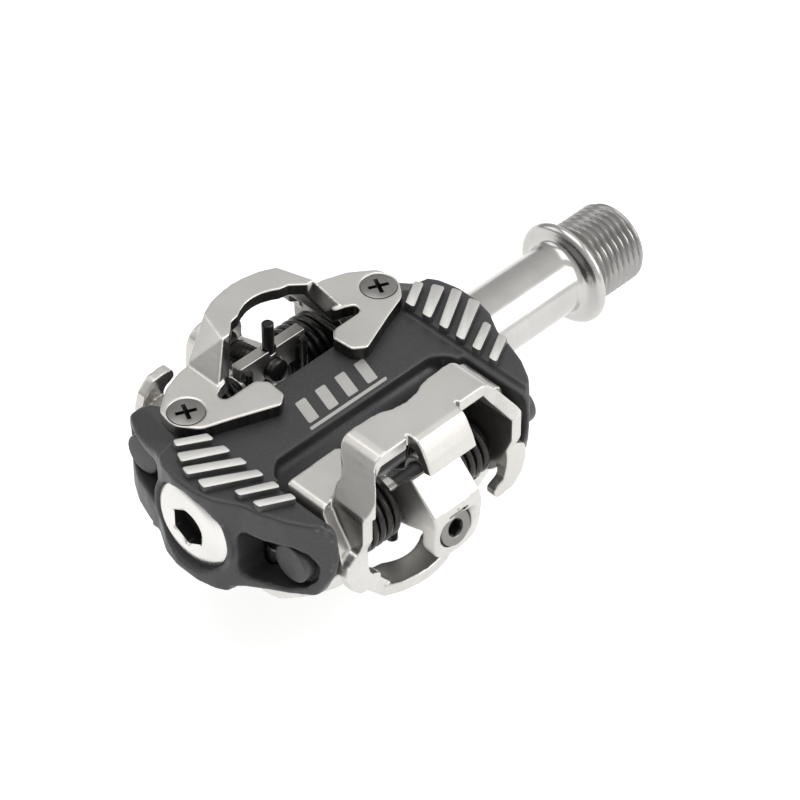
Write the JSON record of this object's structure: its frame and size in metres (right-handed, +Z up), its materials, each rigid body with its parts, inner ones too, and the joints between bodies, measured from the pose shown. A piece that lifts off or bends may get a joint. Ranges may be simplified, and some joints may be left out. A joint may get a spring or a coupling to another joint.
{
  "type": "clipless pedal",
  "caption": "Double-sided clipless bicycle pedal: a compact metal body turning on a threaded spindle, with a fixed front claw and a sprung, adjustable rear claw on each face.",
  "frame": {"origin": "middle of the whole pedal's box, on the spindle axis, 17.45 mm towards the crank from the middle of the pedal body", "axes": "+X along the spindle towards the crank arm, +Y towards the upper side's front claw, +Z up, out of the upper side"},
  "size_m": [0.0962, 0.0564, 0.0346],
  "materials": {
    "anodised_body": "satin charcoal anodised aluminium, raw brushed metal on the machined bars",
    "claw_steel": "satin nickel-plated pressed steel with bright edges",
    "polished_steel": "polished steel",
    "screw_steel": "grey zinc-plated steel",
    "black_steel": "black oxide steel, glossy",
    "cap_aluminium": "satin clear anodised aluminium",
    "bearing_steel": "ground bearing steel",
    "bush_bronze": "sintered bronze",
    "nut_steel": "zinc-plated steel",
    "sleeve_nylon": "black nylon",
    "seal_rubber": "black nitrile rubber"
  },
  "bodies": {
    "spindle_group": {"spindle": "polished_steel", "outer_bearing_inner_race": "bearing_steel", "inner_bearing_inner_race": "bearing_steel", "lock_washer": "bearing_steel", "spindle_lock_nut": "bearing_steel"},
    "outer_ball_cage": {"outer_bearing_balls": "bearing_steel"},
    "inner_ball_cage": {"inner_bearing_balls": "bearing_steel"},
    "pedal_platform": {"pedal_body": "anodised_body", "outer_bearing_outer_race": "bearing_steel", "inner_bearing_outer_race": "bearing_steel", "plain_bush": "bush_bronze", "spindle_seal": "seal_rubber", "end_cap": "cap_aluminium", "top_front_claw": "claw_steel", "top_claw_screw_right": "screw_steel", "top_claw_screw_left": "screw_steel", "top_hinge_pin": "black_steel", "top_hinge_pin_collar": "black_steel", "top_spring_sleeve_right": "sleeve_nylon", "top_spring_sleeve_left": "sleeve_nylon", "bottom_front_claw": "claw_steel", "bottom_claw_screw_right": "screw_steel", "bottom_claw_screw_left": "screw_steel", "bottom_hinge_pin": "black_steel", "bottom_hinge_pin_collar": "black_steel", "bottom_spring_sleeve_right": "sleeve_nylon", "bottom_spring_sleeve_left": "sleeve_nylon"},
    "top_claw_group": {"top_rear_claw": "claw_steel", "top_tension_bracket": "claw_steel", "top_spring_right": "black_steel", "top_spring_left": "black_steel"},
    "top_bolt_group": {"top_tension_bolt": "black_steel", "top_bolt_clip": "black_steel"},
    "top_nut_group": {"top_tension_nut": "nut_steel", "top_nut_pin": "black_steel"},
    "bottom_claw_group": {"bottom_rear_claw": "claw_steel", "bottom_tension_bracket": "claw_steel", "bottom_spring_right": "black_steel", "bottom_spring_left": "black_steel"},
    "bottom_bolt_group": {"bottom_tension_bolt": "black_steel", "bottom_bolt_clip": "black_steel"},
    "bottom_nut_group": {"bottom_tension_nut": "nut_steel", "bottom_nut_pin": "black_steel"}
  },
  "joints": [
    {"name": "pedal_spin", "type": "hinge", "parent": "spindle_group", "child": "pedal_platform", "pos_m": [-0.01745, 0, 0], "axis": [1, 0, 0], "continuous": true},
    {"name": "outer_bearing_roll", "type": "hinge", "parent": "spindle_group", "child": "outer_ball_cage", "pos_m": [-0.03885, 0, 0], "axis": [1, 0, 0], "continuous": true},
    {"name": "inner_bearing_roll", "type": "hinge", "parent": "spindle_group", "child": "inner_ball_cage", "pos_m": [-0.03465, 0, 0], "axis": [1, 0, 0], "continuous": true},
    {"name": "top_claw_hinge", "type": "hinge", "parent": "pedal_platform", "child": "top_claw_group", "pos_m": [-0.01745, -0.0166, 0], "axis": [1, 0, 0], "range_deg": [0, 15], "stiffness_Nm_per_rad": 2, "springref_deg": -20.05, "deforming": ["top_spring_right", "top_spring_left"]},
    {"name": "top_bolt_turn", "type": "hinge", "parent": "top_claw_group", "child": "top_bolt_group", "pos_m": [-0.01745, -0.0271, -0.0019], "axis": [0, 0.9781, -0.2079], "range_deg": [0, 720]},
    {"name": "top_nut_travel", "type": "slide", "parent": "top_claw_group", "child": "top_nut_group", "axis": [0, -0.9781, 0.2079], "range_m": [0, 0.0016]},
    {"name": "bottom_claw_hinge", "type": "hinge", "parent": "pedal_platform", "child": "bottom_claw_group", "pos_m": [-0.01745, 0.0166, 0], "axis": [1, 0, 0], "range_deg": [0, 15], "stiffness_Nm_per_rad": 2, "springref_deg": -20.05, "deforming": ["bottom_spring_right", "bottom_spring_left"]},
    {"name": "bottom_bolt_turn", "type": "hinge", "parent": "bottom_claw_group", "child": "bottom_bolt_group", "pos_m": [-0.01745, 0.0271, 0.0019], "axis": [0, -0.9781, 0.2079], "range_deg": [0, 720]},
    {"name": "bottom_nut_travel", "type": "slide", "parent": "bottom_claw_group", "child": "bottom_nut_group", "axis": [0, 0.9781, -0.2079], "range_m": [0, 0.0016]}
  ],
  "couplings": [
    {"joint": "outer_bearing_roll", "follows": "pedal_spin", "ratio": 0.5864},
    {"joint": "inner_bearing_roll", "follows": "pedal_spin", "ratio": 0.5864},
    {"joint": "top_bolt_turn", "follows": "top_nut_travel", "rad_per_m": 7853.9},
    {"joint": "bottom_bolt_turn", "follows": "bottom_nut_travel", "rad_per_m": 7853.9}
  ]
}
